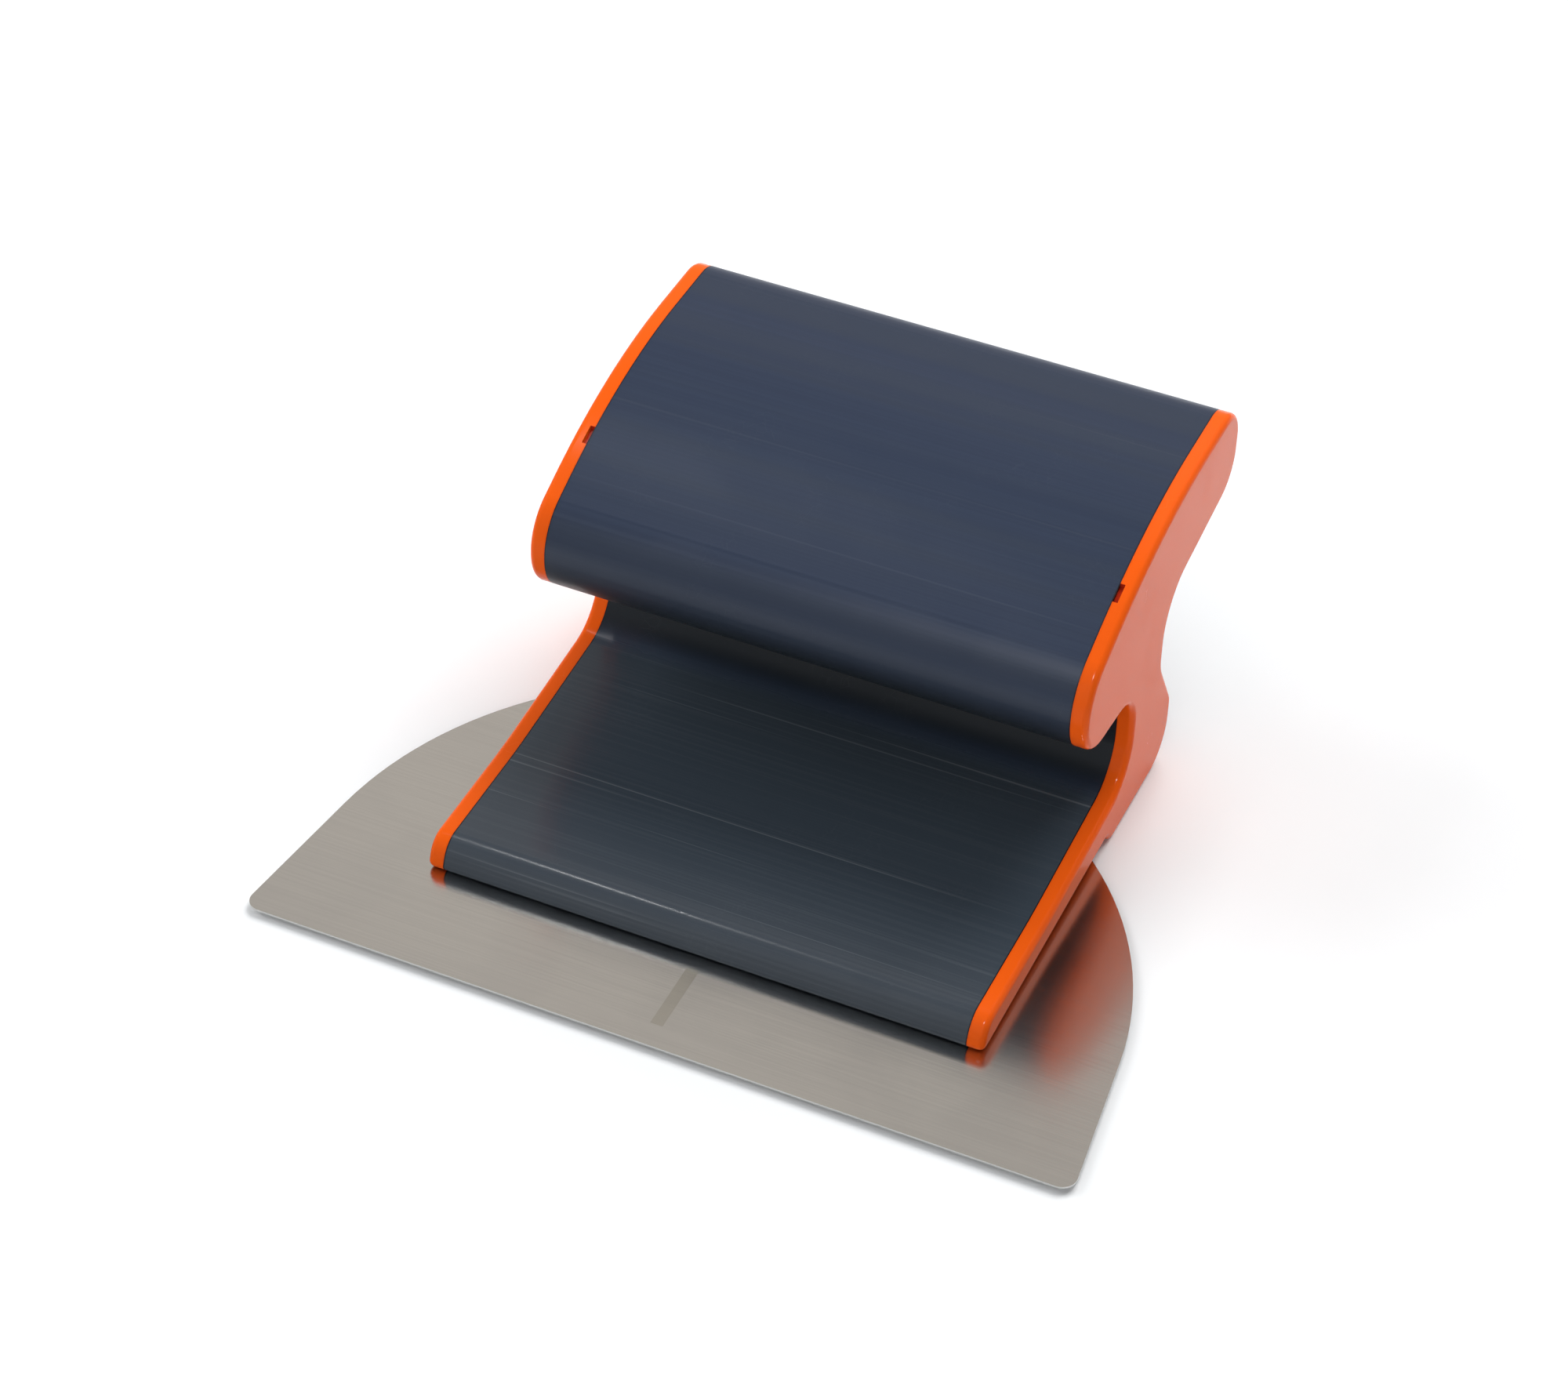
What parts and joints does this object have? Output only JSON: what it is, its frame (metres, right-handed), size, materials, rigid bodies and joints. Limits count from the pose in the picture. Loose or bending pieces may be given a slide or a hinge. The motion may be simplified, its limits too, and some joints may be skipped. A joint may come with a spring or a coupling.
{
  "type": "flexible putty knife",
  "caption": "Half-moon flexible steel blade with a straight working edge, clamped in the heel of an S-shaped hollow grip closed by moulded end caps.",
  "frame": {"origin": "centre of the bounding box at the back of the heel, on the surface that the tool lies on", "axes": "+X across the tool along its grip and working edge, +Y from the working edge towards the grip's top, +Z out of the blade towards the grip; the tool lies on the back of its heel"},
  "size_m": [0.1992, 0.1738, 0.0811],
  "materials": {
    "handle_plastic": "slate-blue rigid extruded plastic, half gloss, with fine die lines along the tool's width",
    "cap_plastic": "orange moulded plastic, glossy, with a rounded rim",
    "blade_steel": "satin stainless steel sheet",
    "clamp_steel": "satin stainless steel strip",
    "zinc_steel": "zinc-plated steel bar",
    "screw_steel": "stainless steel screw"
  },
  "bodies": {
    "root": {"handle_body": "handle_plastic", "left_end_cap": "cap_plastic", "right_end_cap": "cap_plastic", "blade": "blade_steel", "clamp_plate": "clamp_steel", "nut_bar": "zinc_steel", "clamp_screw_1": "screw_steel", "clamp_screw_2": "screw_steel", "clamp_screw_3": "screw_steel", "clamp_screw_4": "screw_steel"}
  },
  "joints": []
}
